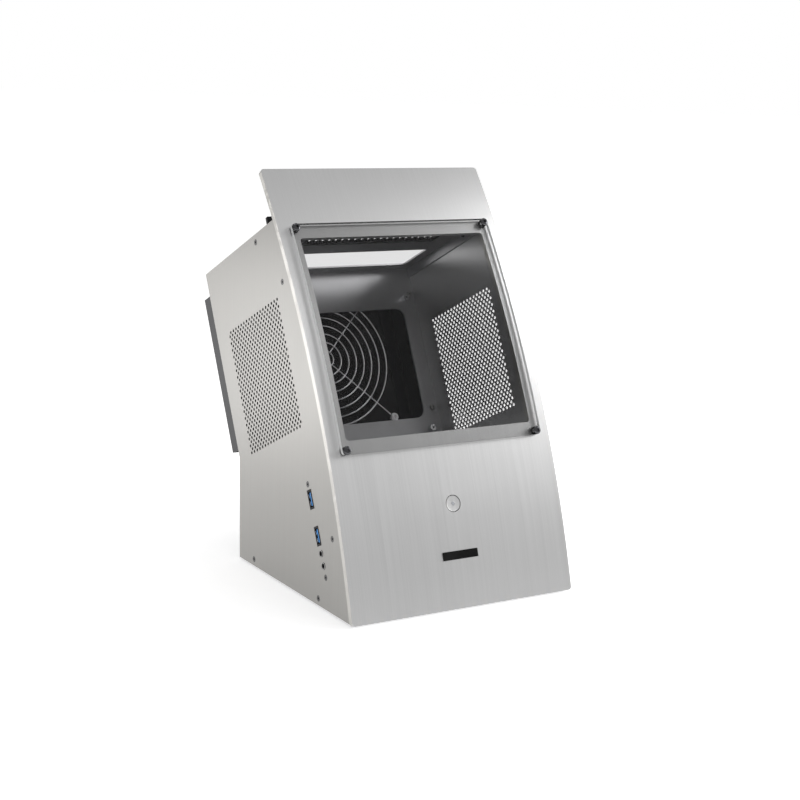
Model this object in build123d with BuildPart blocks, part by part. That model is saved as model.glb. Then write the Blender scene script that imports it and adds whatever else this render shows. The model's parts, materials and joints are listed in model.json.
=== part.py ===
"""A small desktop computer case with an empty board chamber.

The chamber is a tilted box. A tall curved front panel with a window stands in
front of it, a hood behind its back wall holds one 140 mm fan, and a power
supply fits below it, behind the lower back wall.

Frame: +X to the viewer's right, -Y to the front, +Z up. The origin is under
the middle of the whole case, on the surface that the feet stand on.
"""

import os
from math import asin, atan2, cos, degrees, hypot, radians, sin

from build123d import *

# ---------------------------------------------------------------- driving sizes, mm
CASE_W = 222.0  # front panel width
BODY_W = 220.0  # over the side panels
TILT = 26.0  # lean of the chamber, degrees
FOOT_H, FOOT_R = 2.0, 8.0  # rubber feet under the bottom panel
FOOT_GRID = (180.0, 160.0)
SHEET = 1.5  # folded inner sheets
SIDE_T = 1.6  # side panels

FRONT_R = 980.0  # outer radius of the curved front panel
FRONT_T = 5.0
FRONT_LENGTH = 400.0  # measured along the curve
FRONT_FOOT_ANGLE = 15.1  # lean of the front panel at the floor, degrees
FRONT_FOOT_X = 209.6  # front panel's foot, forward of the back wall's foot

CHAMBER_BACK = -78.5  # chamber's top back corner, forward of the back wall's foot
CHAMBER_TOP = 249.2  # the same corner's height over the panels' lower edge
CHAMBER_WALL = 174.0  # length of the chamber's back wall, down the slope
LOWER_FOOT = 1.0  # foot of the lower back wall

WINDOW_W, WINDOW_H = 186.0, 180.0  # opening in the front panel
WINDOW_MID = 241.0  # middle of the window, along the curve
PLATE_W, PLATE_H, PLATE_T = 200.0, 204.5, 3.0  # window plate over the opening
PLATE_GAP = 1.0  # rubber washers hold the plate off the panel
PLATE_SCREW_X, PLATE_SCREW_Y = 96.0, 98.4  # window screws, from its middle
M4_R, M4_HOLE_R = 2.0, 2.2
BUTTON_HEAD_R, BUTTON_HEAD_H, BUTTON_HEX_R = 3.8, 2.3, 1.25
WASHER_R, NUT_FLATS, NUT_T = 3.6, 7.0, 3.2

BUTTON_AT = 88.5  # power button, along the curve
BUTTON_R = 7.0
BUTTON_TRAVEL = 1.2
BUTTON_SCREW_X = 14.0
BADGE_AT, BADGE_W, BADGE_H, BADGE_T = 45.0, 35.0, 7.2, 0.8

HOLE_PITCH, HOLE_ROW, HOLE_D = 5.8, 3.175, 2.8  # staggered side perforation
HOLE_COLUMNS, HOLE_ROWS = 18, 36
HOLES_FORWARD, HOLES_DOWN = 29.0, 64.7  # first hole, from the chamber's top back corner

CUTOUT_X, CUTOUT_TOP, CUTOUT_BOTTOM = 93.0, 43.7, 154.2  # opening behind the board
BOARD_RIGHT = 95.5  # right-hand board holes
BOARD_SPAN = 157.48
BOARD_HOLE_RIGHT, BOARD_HOLE_LEFT, BOARD_HOLE_LOW = 34.2, 11.34, 166.28
STANDOFF_H = 6.5

FAN_SIZE, FAN_T, FAN_SCREWS, FAN_AT = 140.0, 25.0, 124.5, 87.5
HOOD_W, HOOD_DEPTH, HOOD_TOP, HOOD_BOTTOM = 200.0, 33.0, 15.0, 163.0
HOOD_FLANGE = 8.0

TOP_DROP = 2.0  # top panel below the side panels' upper edges
TOP_FLANGE = 9.0
IO_W, IO_H, IO_RIGHT, IO_BACK = 158.75, 44.45, 95.5, 16.0  # board connector aperture
SLOT_W, SLOT_PITCH = 12.0, 20.32
GRILLE_BACK, GRILLE_D, GRILLE_W = 79.0, 58.0, 206.0
GRILLE_LIP, GRILLE_LIP_AT = 13.0, 44.0

MODULE_AT = 118.7  # side connectors, forward of the chamber's back
USB_AT = (237.7, 269.1)  # down the slope
JACK_AT = (284.0, 294.5)
MODULE_SCREWS = (224.7, 304.4)
USB_L, USB_H, USB_DEPTH = 16.4, 7.0, 17.0
JACK_D = 6.2

PSU_W, PSU_H = 150.0, 86.0
PSU_RISE = 3.5  # power supply's underside over the panels' lower edge

# ---------------------------------------------------------------- derived frames
INNER = BODY_W / 2 - SIDE_T
BACK_R = FRONT_R - FRONT_T
CURVE_X = FRONT_FOOT_X - FRONT_R * cos(radians(FRONT_FOOT_ANGLE))
CURVE_Z = -FRONT_R * sin(radians(FRONT_FOOT_ANGLE))


def sloped(forward, down):
    """Chamber sizes, from its top back corner, as forward and height in the side view."""
    lean = radians(TILT)
    across = CHAMBER_BACK + forward * cos(lean) + down * sin(lean)
    height = CHAMBER_TOP + forward * sin(lean) - down * cos(lean)
    return across, height


REAR_END = sloped(-HOOD_DEPTH, HOOD_TOP)[0]
MIDDLE = (FRONT_FOOT_X + REAR_END) / 2

# side view: local x forward, local y up, normal to the left
side = Plane(origin=(0, MIDDLE, FOOT_H), x_dir=(0, -1, 0), z_dir=(-1, 0, 0))
lean_dir = (0, -cos(radians(TILT)), sin(radians(TILT)))
up_slope = (0, sin(radians(TILT)), cos(radians(TILT)))
corner = side.from_local_coords((CHAMBER_BACK, CHAMBER_TOP, 0))
# back wall: local x right, local y up the slope, normal forward
chamber = Plane(origin=corner, x_dir=(1, 0, 0), z_dir=lean_dir)
# chamber seen from the left: local x forward, local y up the slope
slope = Plane(origin=corner, x_dir=lean_dir, z_dir=(-1, 0, 0))
# top panel: local x right, local y to the back, normal up
roof = Plane(origin=corner, x_dir=(1, 0, 0), z_dir=up_slope)
kink = sloped(0, CHAMBER_WALL)
wall_run = hypot(kink[0] - LOWER_FOOT, kink[1])
wall_lean = atan2(LOWER_FOOT - kink[0], kink[1])
# lower back wall: local x right, local y up, normal forward
lower = Plane(
    origin=side.from_local_coords((LOWER_FOOT, 0, 0)),
    x_dir=(1, 0, 0),
    z_dir=(0, -cos(wall_lean), sin(wall_lean)),
)
floor = Plane(origin=(0, MIDDLE, FOOT_H), x_dir=(1, 0, 0), z_dir=(0, 0, 1))


def curve_angle(along):
    """Angle on the front curve at a distance along it from the floor."""
    return FRONT_FOOT_ANGLE + degrees(along / FRONT_R)


def front(along, depth=0.0):
    """Plane that touches the front curve: local x right, local y up, normal outward."""
    angle = radians(curve_angle(along))
    reach = FRONT_R - depth
    spot = (CURVE_X + reach * cos(angle), CURVE_Z + reach * sin(angle), 0)
    return Plane(
        origin=side.from_local_coords(spot),
        x_dir=(1, 0, 0),
        z_dir=(0, -cos(angle), sin(angle)),
    )


def curved_strip(outer, thickness, start, end):
    """Side view of a sheet that follows the front curve."""
    first = curve_angle(start)
    sweep_by = curve_angle(end) - first
    with BuildSketch(side) as strip:
        with BuildLine():
            over = CenterArc((CURVE_X, CURVE_Z), outer, first, sweep_by)
            under = CenterArc((CURVE_X, CURVE_Z), outer - thickness, first, sweep_by)
            Line(over @ 0, under @ 0)
            Line(over @ 1, under @ 1)
        make_face()
    return strip.sketch


WINDOW_SPOTS = [(x, y) for y in (-PLATE_SCREW_Y, PLATE_SCREW_Y) for x in (-PLATE_SCREW_X, PLATE_SCREW_X)]


def window_plane(y, depth):
    """Plane at a window screw, at a depth below the front panel's outer face."""
    return front(WINDOW_MID + FRONT_R * asin(y / FRONT_R), depth)


def window_holes(radius):
    """Circles for the window screws, each square to the curve where it stands."""
    spots = Sketch()
    for x, y in WINDOW_SPOTS:
        with BuildSketch(window_plane(y, 0)) as hole:
            with Locations((x, 0)):
                Circle(radius)
        spots += hole.sketch
    return spots


def behind_front(gap=0.0):
    """Side view of everything behind the front panel."""
    with BuildSketch(side) as disc:
        with Locations((CURVE_X, CURVE_Z)):
            Circle(BACK_R - gap)
    return disc.sketch


def turned(plane, turn):
    """The plane turned about its own normal, degrees."""
    return Plane(plane.location * Location((0, 0, 0), (0, 0, turn)))


def finish(part, name, color=None):
    """Label a finished piece and write it."""
    part.part.label = name
    if color:
        part.part.color = Color(color)
    export_step(part.part, f"parts/{name}.step")


os.makedirs("parts", exist_ok=True)

# ---------------------------------------------------------------- front panel
with BuildPart() as front_panel:
    extrude(curved_strip(FRONT_R, FRONT_T, 0, FRONT_LENGTH), amount=CASE_W / 2, both=True)
    corners = front_panel.edges().filter_by(lambda e: abs(e.length - FRONT_T) < 0.01)
    fillet(corners, 3.0)
    with BuildSketch(front(WINDOW_MID)):
        RectangleRounded(WINDOW_W, WINDOW_H, 3.0)
    extrude(amount=12, both=True, mode=Mode.SUBTRACT)
    extrude(window_holes(2.1), amount=20, both=True, mode=Mode.SUBTRACT)
    with BuildSketch(front(BUTTON_AT)):
        Circle(BUTTON_R + 0.35)
    extrude(amount=8, both=True, mode=Mode.SUBTRACT)
    with BuildSketch(front(BUTTON_AT, FRONT_T + 1)):
        with GridLocations(2 * BUTTON_SCREW_X, 1, 2, 1):
            Circle(1.25)
    extrude(amount=3.6, mode=Mode.SUBTRACT)
finish(front_panel, "front_panel", "silver")

# ---------------------------------------------------------------- window
PLATE_OUT = FRONT_R + PLATE_GAP + PLATE_T
PLATE_LOW, PLATE_HIGH = WINDOW_MID - PLATE_H / 2, WINDOW_MID + PLATE_H / 2
with BuildPart() as window_plate:
    extrude(curved_strip(PLATE_OUT, PLATE_T, PLATE_LOW, PLATE_HIGH), amount=PLATE_W / 2, both=True)
    fillet(window_plate.edges().filter_by(lambda e: abs(e.length - PLATE_T) < 0.01), 3.5)
    extrude(window_holes(M4_HOLE_R), amount=20, both=True, mode=Mode.SUBTRACT)
finish(window_plate, "window_plate", "gray")

with BuildPart() as window_washers:
    for x, y in WINDOW_SPOTS:
        with BuildSketch(window_plane(y, -0.01)):
            with Locations((x, 0)):
                Circle(WASHER_R)
                Circle(M4_HOLE_R, mode=Mode.SUBTRACT)
        extrude(amount=PLATE_GAP - 0.02)
finish(window_washers, "window_washers", "black")

with BuildPart() as window_screws:
    for x, y in WINDOW_SPOTS:
        plate_face = window_plane(y, -PLATE_GAP - PLATE_T)
        with BuildSketch(plate_face):
            with Locations((x, 0)):
                Circle(BUTTON_HEAD_R)
        extrude(amount=BUTTON_HEAD_H, taper=12)
        with BuildSketch(plate_face):
            with Locations((x, 0)):
                Circle(M4_R)
        extrude(amount=-(PLATE_GAP + PLATE_T + FRONT_T + 4))
        with BuildSketch(plate_face.offset(BUTTON_HEAD_H)):
            with Locations((x, 0)):
                RegularPolygon(BUTTON_HEX_R, 6, major_radius=False)
        extrude(amount=-1.4, mode=Mode.SUBTRACT)
finish(window_screws, "window_screws", "white")

with BuildPart() as window_nuts:
    for x, y in WINDOW_SPOTS:
        with BuildSketch(window_plane(y, FRONT_T + 0.03)):
            with Locations((x, 0)):
                RegularPolygon(NUT_FLATS / 2, 6, major_radius=False)
                Circle(M4_R, mode=Mode.SUBTRACT)
        extrude(amount=-NUT_T)
finish(window_nuts, "window_nuts", "white")

# ---------------------------------------------------------------- badge
with BuildPart() as badge_plate:
    with BuildSketch(front(BADGE_AT)):
        RectangleRounded(BADGE_W, BADGE_H, 0.5)
    extrude(amount=BADGE_T)
    fillet(badge_plate.faces().sort_by(Axis.Y)[0].edges(), 0.2)
finish(badge_plate, "badge_plate", "black")

# ---------------------------------------------------------------- power button
CAP_DEPTH = 6.0
COLLAR_R, COLLAR_T = 8.4, 1.6
STEM_R, STEM_END = 2.4, 14.0
LENS_R = 1.7
with BuildPart() as power_button:
    with BuildSketch(front(BUTTON_AT)):
        Circle(BUTTON_R)
    extrude(amount=-CAP_DEPTH)
    chamfer(power_button.edges().sort_by(Axis.Y)[0], 0.35)
    with BuildSketch(front(BUTTON_AT, CAP_DEPTH)):
        Circle(COLLAR_R)
    extrude(amount=-COLLAR_T)
    with BuildSketch(front(BUTTON_AT, CAP_DEPTH + COLLAR_T)):
        Circle(STEM_R)
    extrude(amount=-(STEM_END - CAP_DEPTH - COLLAR_T))
    with BuildSketch(front(BUTTON_AT)):
        Circle(LENS_R)
    extrude(amount=-4, mode=Mode.SUBTRACT)
finish(power_button, "power_button", "silver")

with BuildPart() as power_light:
    with BuildSketch(front(BUTTON_AT, 0.2)):
        Circle(LENS_R)
    extrude(amount=-3.8)
finish(power_light, "power_light", "white")

HOUSING_END = 19.0
SPRING_TOP = CAP_DEPTH + COLLAR_T + BUTTON_TRAVEL + 0.1
with BuildPart() as button_housing:
    with BuildSketch(front(BUTTON_AT, FRONT_T + 0.2)):
        SlotOverall(36, 19)
    extrude(amount=-2)
    with BuildSketch(front(BUTTON_AT, FRONT_T + 0.2)):
        Circle(10.5)
    extrude(amount=-(HOUSING_END - FRONT_T - 0.2))
    with BuildSketch(front(BUTTON_AT)):
        Circle(COLLAR_R + 0.3)
    extrude(amount=-(HOUSING_END - 3), mode=Mode.SUBTRACT)
    with BuildSketch(front(BUTTON_AT)):
        Rectangle(6.4, 6.4)
    extrude(amount=-HOUSING_END - 1, mode=Mode.SUBTRACT)
    with BuildSketch(front(BUTTON_AT)):
        with GridLocations(2 * BUTTON_SCREW_X, 1, 2, 1):
            Circle(1.3)
    extrude(amount=-12, mode=Mode.SUBTRACT)
finish(button_housing, "button_housing", "black")

with BuildPart() as button_screws:
    for x in (-BUTTON_SCREW_X, BUTTON_SCREW_X):
        with BuildSketch(front(BUTTON_AT, FRONT_T + 2.2)):
            with Locations((x, 0)):
                Circle(2.4)
        extrude(amount=-1.6)
        with BuildSketch(front(BUTTON_AT, FRONT_T - 2.5)):
            with Locations((x, 0)):
                Circle(1.25)
        extrude(amount=-4.7)
finish(button_screws, "button_screws", "gray")

SPRING_R, SPRING_WIRE = 6.2, 0.35
SPRING_H = HOUSING_END - 3 - SPRING_TOP - 3 * SPRING_WIRE
with BuildPart() as button_spring:
    seat = front(BUTTON_AT, HOUSING_END - 3 - 1.5 * SPRING_WIRE)
    with BuildLine():
        coil = Helix(SPRING_H / 4, SPRING_H, SPRING_R, center=seat.origin, direction=seat.z_dir)
    with BuildSketch(Plane(origin=coil @ 0, z_dir=coil % 0)):
        Circle(SPRING_WIRE)
    sweep(path=coil, is_frenet=True)
finish(button_spring, "button_spring", "gray")

with BuildPart() as button_switch:
    with BuildSketch(front(BUTTON_AT, STEM_END + BUTTON_TRAVEL + 1.0)):
        Rectangle(6, 6)
    extrude(amount=-3.4)
    with BuildSketch(front(BUTTON_AT, STEM_END + BUTTON_TRAVEL + 1.0)):
        Circle(1.7)
    extrude(amount=0.8)
    with BuildSketch(front(BUTTON_AT, STEM_END + BUTTON_TRAVEL + 4.4)):
        with GridLocations(4.5, 5, 2, 2):
            Rectangle(0.7, 0.4)
    extrude(amount=-3.5)
finish(button_switch, "button_switch", "black")


# ---------------------------------------------------------------- side panels
def side_outline(plane):
    """Outline of a side panel: foot, kink, tilted back and top, curved front."""
    with BuildSketch(plane) as outline:
        with BuildLine():
            Polyline(
                (LOWER_FOOT, 0),
                kink,
                sloped(0, 0),
                sloped(FRONT_LENGTH, 0),
                (FRONT_LENGTH, CHAMBER_TOP),
                (FRONT_LENGTH, 0),
                close=True,
            )
        make_face()
        with Locations((CURVE_X, CURVE_Z)):
            Circle(BACK_R, mode=Mode.INTERSECT)
    return outline.sketch


def perforation(plane, left):
    """Holes of one side panel. Its odd rows are half a pitch behind or ahead."""
    column_mid = HOLES_FORWARD + (HOLE_COLUMNS - 1) * HOLE_PITCH / 2
    half = HOLE_PITCH / 2
    even = column_mid if left else column_mid - half
    odd = column_mid - half if left else column_mid
    row_mid = -HOLES_DOWN - (HOLE_ROWS - 2) * HOLE_ROW / 2
    with BuildSketch(plane) as holes:
        for across, down in ((even, row_mid), (odd, row_mid - HOLE_ROW)):
            with Locations((across, down)):
                with GridLocations(HOLE_PITCH, 2 * HOLE_ROW, HOLE_COLUMNS, HOLE_ROWS // 2):
                    Circle(HOLE_D / 2)
    return holes.sketch


CLIP_AT = (72.9, 299.7)  # clips that join side and front panels, along the front curve
CLIP_BACK = 13.3  # their screws, behind the front panel's inner face
TOP_SCREW = (108.7, 6.8)  # top panel screw: forward, down
LOW_SCREWS = ((30.0, 6.0), (150.0, 6.0))  # bottom panel screws, in the side view


def clip_spot(along):
    """Side view place of a clip's side screw."""
    angle = radians(curve_angle(along))
    reach = BACK_R - CLIP_BACK
    return CURVE_X + reach * cos(angle), CURVE_Z + reach * sin(angle)


SIDE_SPOTS = [clip_spot(along) for along in CLIP_AT] + [sloped(*TOP_SCREW), *LOW_SCREWS]
MODULE_SPOTS = [sloped(MODULE_AT, down) for down in MODULE_SCREWS]
SCREW_R, SINK_R = 1.5, 2.7
BIG_HOLES = [(MODULE_AT, -down) for down in JACK_AT]

with BuildPart() as left_side_panel:
    extrude(side_outline(side.offset(BODY_W / 2)), amount=-SIDE_T)
    extrude(perforation(slope.offset(BODY_W / 2), True), amount=-SIDE_T, mode=Mode.SUBTRACT)
    with BuildSketch(slope.offset(BODY_W / 2)):
        with Locations(*[(MODULE_AT, -down) for down in USB_AT]):
            Rectangle(USB_H + 0.4, USB_L + 0.4)
        with Locations(*BIG_HOLES):
            Circle(JACK_D / 2 + 0.1)
    extrude(amount=-SIDE_T, mode=Mode.SUBTRACT)
    with Locations(side.offset(BODY_W / 2)):
        with Locations(*[(f, z, 0) for f, z in SIDE_SPOTS + MODULE_SPOTS]):
            CounterSinkHole(SCREW_R + 0.05, SINK_R + 0.05, depth=SIDE_T + 0.1)
finish(left_side_panel, "left_side_panel", "silver")

right_face = Plane(origin=side.origin, x_dir=side.x_dir, z_dir=side.z_dir).offset(-BODY_W / 2)
with BuildPart() as right_side_panel:
    extrude(side_outline(right_face), amount=SIDE_T)
    extrude(perforation(slope.offset(-BODY_W / 2), False), amount=SIDE_T, mode=Mode.SUBTRACT)
    mirrored = Plane(origin=right_face.origin, x_dir=(0, 1, 0), z_dir=(1, 0, 0))
    with Locations(mirrored):
        with Locations(*[(-f, z, 0) for f, z in SIDE_SPOTS]):
            CounterSinkHole(SCREW_R + 0.05, SINK_R + 0.05, depth=SIDE_T + 0.1)
finish(right_side_panel, "right_side_panel", "silver")


def flush_screw(plane, spot, length):
    """A countersunk screw with a hexagon socket, its head flush with the plane."""
    with BuildPart() as screw:
        with BuildSketch(plane):
            with Locations(spot):
                Circle(SINK_R)
        extrude(amount=-(SINK_R - SCREW_R), taper=45)
        with BuildSketch(plane):
            with Locations(spot):
                Circle(SCREW_R)
        extrude(amount=-length)
        with BuildSketch(plane):
            with Locations(spot):
                RegularPolygon(0.9, 6, major_radius=False)
        extrude(amount=-0.9, mode=Mode.SUBTRACT)
    return screw.part


left_face = side.offset(BODY_W / 2 - 0.05)
right_out = mirrored.offset(-0.05)
with BuildPart() as side_screws:
    for f, z in SIDE_SPOTS:
        add(flush_screw(left_face, (f, z), 5))
        add(flush_screw(right_out, (-f, z), 5))
finish(side_screws, "side_screws", "white")

# ---------------------------------------------------------------- front clips
CLIP_T, CLIP_L, CLIP_LEG = 1.5, 24.0, 20.0
with BuildPart() as front_clips:
    for along in CLIP_AT:
        leg = curved_strip(BACK_R, CLIP_LEG, along - CLIP_L / 2, along + CLIP_L / 2)
        foot = curved_strip(BACK_R, CLIP_T, along - CLIP_L / 2, along + CLIP_L / 2)
        for sign in (-1, 1):
            add(extrude(leg.moved(Location((sign * INNER, 0, 0))), amount=sign * CLIP_T, mode=Mode.PRIVATE))
            add(extrude(foot.moved(Location((sign * INNER, 0, 0))), amount=sign * 8, mode=Mode.PRIVATE))
    with Locations(side):
        with Locations(*[(*clip_spot(along), 0) for along in CLIP_AT]):
            Hole(SCREW_R)
finish(front_clips, "front_clips", "gray")

# ---------------------------------------------------------------- back wall of the chamber
RIGHT_HOLES = [(BOARD_RIGHT, -BOARD_HOLE_RIGHT), (BOARD_RIGHT, -BOARD_HOLE_LOW)]
LEFT_HOLES = [(BOARD_RIGHT - BOARD_SPAN, -BOARD_HOLE_LEFT), (BOARD_RIGHT - BOARD_SPAN, -BOARD_HOLE_LOW)]
BOARD_SPOTS = RIGHT_HOLES + LEFT_HOLES
HOOD_SPOTS = [(sign * 103.3, -down) for sign in (-1, 1) for down in (30.2, 145.4)]
FAN_HALF = FAN_SCREWS / 2
FAN_SPOTS = [(x, -FAN_AT + y) for x in (-FAN_HALF, FAN_HALF) for y in (-FAN_HALF, FAN_HALF)]

with BuildPart() as rear_wall:
    with BuildSketch(chamber):
        wall_top = TOP_DROP + SHEET
        with Locations((0, -(wall_top + CHAMBER_WALL) / 2)):
            Rectangle(2 * INNER, CHAMBER_WALL - wall_top)
        with Locations((0, -(CUTOUT_TOP + CUTOUT_BOTTOM) / 2)):
            RectangleRounded(2 * CUTOUT_X, CUTOUT_BOTTOM - CUTOUT_TOP, 9, mode=Mode.SUBTRACT)
        with Locations(*BOARD_SPOTS, *HOOD_SPOTS):
            Circle(1.6, mode=Mode.SUBTRACT)
    extrude(amount=SHEET)
finish(rear_wall, "rear_wall", "gray")

with BuildPart() as board_standoffs:
    for spot in BOARD_SPOTS:
        with BuildSketch(chamber.offset(SHEET)):
            with Locations(spot):
                RegularPolygon(2.75, 6, major_radius=False)
        extrude(amount=STANDOFF_H)
        with BuildSketch(chamber.offset(SHEET)):
            with Locations(spot):
                Circle(1.6)
        extrude(amount=-SHEET)
        with BuildSketch(chamber.offset(SHEET + STANDOFF_H)):
            with Locations(spot):
                Circle(1.25)
        extrude(amount=-5, mode=Mode.SUBTRACT)
finish(board_standoffs, "board_standoffs", "gold")

# ---------------------------------------------------------------- lower back wall
PSU_SPOTS = [(-69, 27), (-69, -37), (69, 27), (45, -37)]
with BuildPart() as rear_lower_wall:
    with BuildSketch(lower):
        with Locations((0, wall_run / 2)):
            Rectangle(2 * INNER, wall_run)
        with Locations((0, PSU_RISE + PSU_H / 2)):
            RectangleRounded(PSU_W - 26, PSU_H - 20, 4, mode=Mode.SUBTRACT)
            with Locations(*PSU_SPOTS):
                Circle(2.0, mode=Mode.SUBTRACT)
    extrude(amount=SHEET)
finish(rear_lower_wall, "rear_lower_wall", "silver")

# ---------------------------------------------------------------- bottom panel
FLOOR_BACK = LOWER_FOOT + SHEET + 0.1
FLOOR_FRONT = FRONT_FOOT_X
VENT_AT, VENT_ROWS, VENT_L, VENT_PITCH = 75.0, 12, 36.0, 9.0
BRACKET_AT = 95.0  # middle of the drive bracket, forward of the back wall's foot
BRACKET_X = 97.0
BRACKET_SCREW_Y = 34.0
with BuildPart() as bottom_panel:
    with BuildSketch(floor):
        with Locations((0, -(FLOOR_BACK + FLOOR_FRONT) / 2)):
            Rectangle(2 * INNER, FLOOR_FRONT - FLOOR_BACK)
        with Locations((0, -VENT_AT)):
            with GridLocations(VENT_L + 7, VENT_PITCH, 3, VENT_ROWS):
                SlotOverall(VENT_L, 4, mode=Mode.SUBTRACT)
        with Locations((BRACKET_X - 6, -BRACKET_AT)):
            with GridLocations(1, 2 * BRACKET_SCREW_Y, 1, 2):
                Circle(1.6, mode=Mode.SUBTRACT)
    extrude(amount=SHEET)
    with BuildSketch(floor.offset(SHEET)):
        with Locations((0, -(FLOOR_BACK + FLOOR_FRONT) / 2)):
            with GridLocations(2 * INNER - SHEET, 1, 2, 1):
                Rectangle(SHEET, FLOOR_FRONT - FLOOR_BACK)
    extrude(amount=9)
    extrude(behind_front(0.05), amount=CASE_W, both=True, mode=Mode.INTERSECT)
    with Locations(side):
        with Locations(*[(f, z, 0) for f, z in LOW_SCREWS]):
            Hole(SCREW_R)
finish(bottom_panel, "bottom_panel", "gray")

with BuildPart() as feet:
    with BuildSketch(floor):
        with Locations((0, -100)):
            with GridLocations(*FOOT_GRID, 2, 2):
                Circle(FOOT_R)
    extrude(amount=-FOOT_H)
    fillet(feet.faces().sort_by(Axis.Z)[:4].edges(), 0.6)
finish(feet, "feet", "black")

with BuildPart() as power_supply_pads:
    with BuildSketch(floor.offset(SHEET)):
        with Locations((0, -72)):
            with GridLocations(150, 96, 2, 2):
                RectangleRounded(14, 20, 2)
    extrude(amount=PSU_RISE - SHEET)
finish(power_supply_pads, "power_supply_pads", "black")

# ---------------------------------------------------------------- top panel
ROOF_TOP = -TOP_DROP
ROOF_UNDER = ROOF_TOP - SHEET
SLOT_X = [IO_RIGHT - IO_W - 14.0 - n * SLOT_PITCH for n in range(2)]
SLOT_BACK, COVER_BACK, COVER_L, COVER_W = 9.0, 4.0, 108.0, 18.4
SLOT_SCREW = 107.5
GRILLE_LEFT, GRILLE_RIGHT = -60.0, 92.0
GRILLE_FRONT = GRILLE_BACK + GRILLE_D
grille_mid = ((GRILLE_LEFT + GRILLE_RIGHT) / 2, -(GRILLE_BACK + GRILLE_FRONT) / 2)
GRILLE_RIM = 5.0
with BuildPart() as top_panel:
    with BuildSketch(roof.offset(ROOF_UNDER)):
        with Locations((0, -100)):
            Rectangle(2 * INNER, 200)
        with Locations((IO_RIGHT - IO_W / 2, -IO_BACK - IO_H / 2)):
            Rectangle(IO_W, IO_H, mode=Mode.SUBTRACT)
        with Locations(*[(x, -SLOT_BACK - (COVER_L - 15) / 2) for x in SLOT_X]):
            Rectangle(SLOT_W, COVER_L - 15, mode=Mode.SUBTRACT)
        with Locations(*[(x, -SLOT_SCREW) for x in SLOT_X]):
            Circle(1.5, mode=Mode.SUBTRACT)
        with Locations(grille_mid):
            Rectangle(
                GRILLE_RIGHT - GRILLE_LEFT - 2 * GRILLE_RIM,
                GRILLE_D - 2 * GRILLE_RIM,
                mode=Mode.SUBTRACT,
            )
    extrude(amount=SHEET)
    with BuildSketch(roof.offset(ROOF_UNDER)):
        with Locations((0, -100)):
            with GridLocations(2 * INNER - SHEET, 1, 2, 1):
                Rectangle(SHEET, 200)
    extrude(amount=-TOP_FLANGE)
    with BuildSketch(roof.offset(ROOF_UNDER)):
        with Locations((0, -SHEET / 2)):
            Rectangle(2 * CASE_W, SHEET)
    extrude(amount=-TOP_FLANGE, mode=Mode.SUBTRACT)
    extrude(behind_front(0.05), amount=CASE_W, both=True, mode=Mode.INTERSECT)
    with Locations(side):
        with Locations((*sloped(*TOP_SCREW), 0)):
            Hole(SCREW_R)
finish(top_panel, "top_panel", "gray")

with BuildPart() as slot_covers:
    with BuildSketch(roof.offset(ROOF_TOP)):
        with Locations(*[(x, -COVER_BACK - COVER_L / 2) for x in SLOT_X]):
            RectangleRounded(COVER_W, COVER_L, 1)
        with Locations(*[(x, -SLOT_SCREW) for x in SLOT_X]):
            Circle(1.6, mode=Mode.SUBTRACT)
        for x in SLOT_X:
            with Locations((x, -COVER_BACK - 48)):
                with GridLocations(1, 5.5, 1, 15):
                    SlotOverall(8, 2.4, mode=Mode.SUBTRACT)
    extrude(amount=1)
finish(slot_covers, "slot_covers", "gray")

with BuildPart() as slot_cover_screws:
    for x in SLOT_X:
        with BuildSketch(roof.offset(ROOF_TOP + 1)):
            with Locations((x, -SLOT_SCREW)):
                Circle(3.2)
        extrude(amount=2)
        with BuildSketch(roof.offset(ROOF_TOP + 1)):
            with Locations((x, -SLOT_SCREW)):
                Circle(1.5)
        extrude(amount=-5)
        with BuildSketch(roof.offset(ROOF_TOP + 3)):
            with Locations((x, -SLOT_SCREW)):
                Rectangle(4, 0.8)
                Rectangle(0.8, 4)
        extrude(amount=-1.2, mode=Mode.SUBTRACT)
finish(slot_cover_screws, "slot_cover_screws", "white")

with BuildPart() as top_grille:
    with BuildSketch(roof.offset(ROOF_TOP)):
        with Locations(grille_mid):
            Rectangle(GRILLE_RIGHT - GRILLE_LEFT, GRILLE_D)
        with Locations((0, -GRILLE_BACK - GRILLE_LIP_AT)):
            Rectangle(GRILLE_W, 6)
        with Locations(grille_mid):
            for row in (-12, 12):
                with Locations((0, row)):
                    with GridLocations(6.8, 1, 20, 1):
                        with Locations(Location((0, 0), 70)):
                            SlotOverall(20, 3, mode=Mode.SUBTRACT)
    extrude(amount=2)
    with BuildSketch(roof.offset(ROOF_TOP + 2)):
        with Locations((0, -GRILLE_BACK - GRILLE_LIP_AT)):
            Rectangle(GRILLE_W, 2.5)
    extrude(amount=GRILLE_LIP - 2)
    fillet(top_grille.edges().filter_by(lambda e: abs(e.length - 2.5) < 0.01).sort_by(Axis.Z)[-2:], 1.2)
finish(top_grille, "top_grille", "black")

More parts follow.
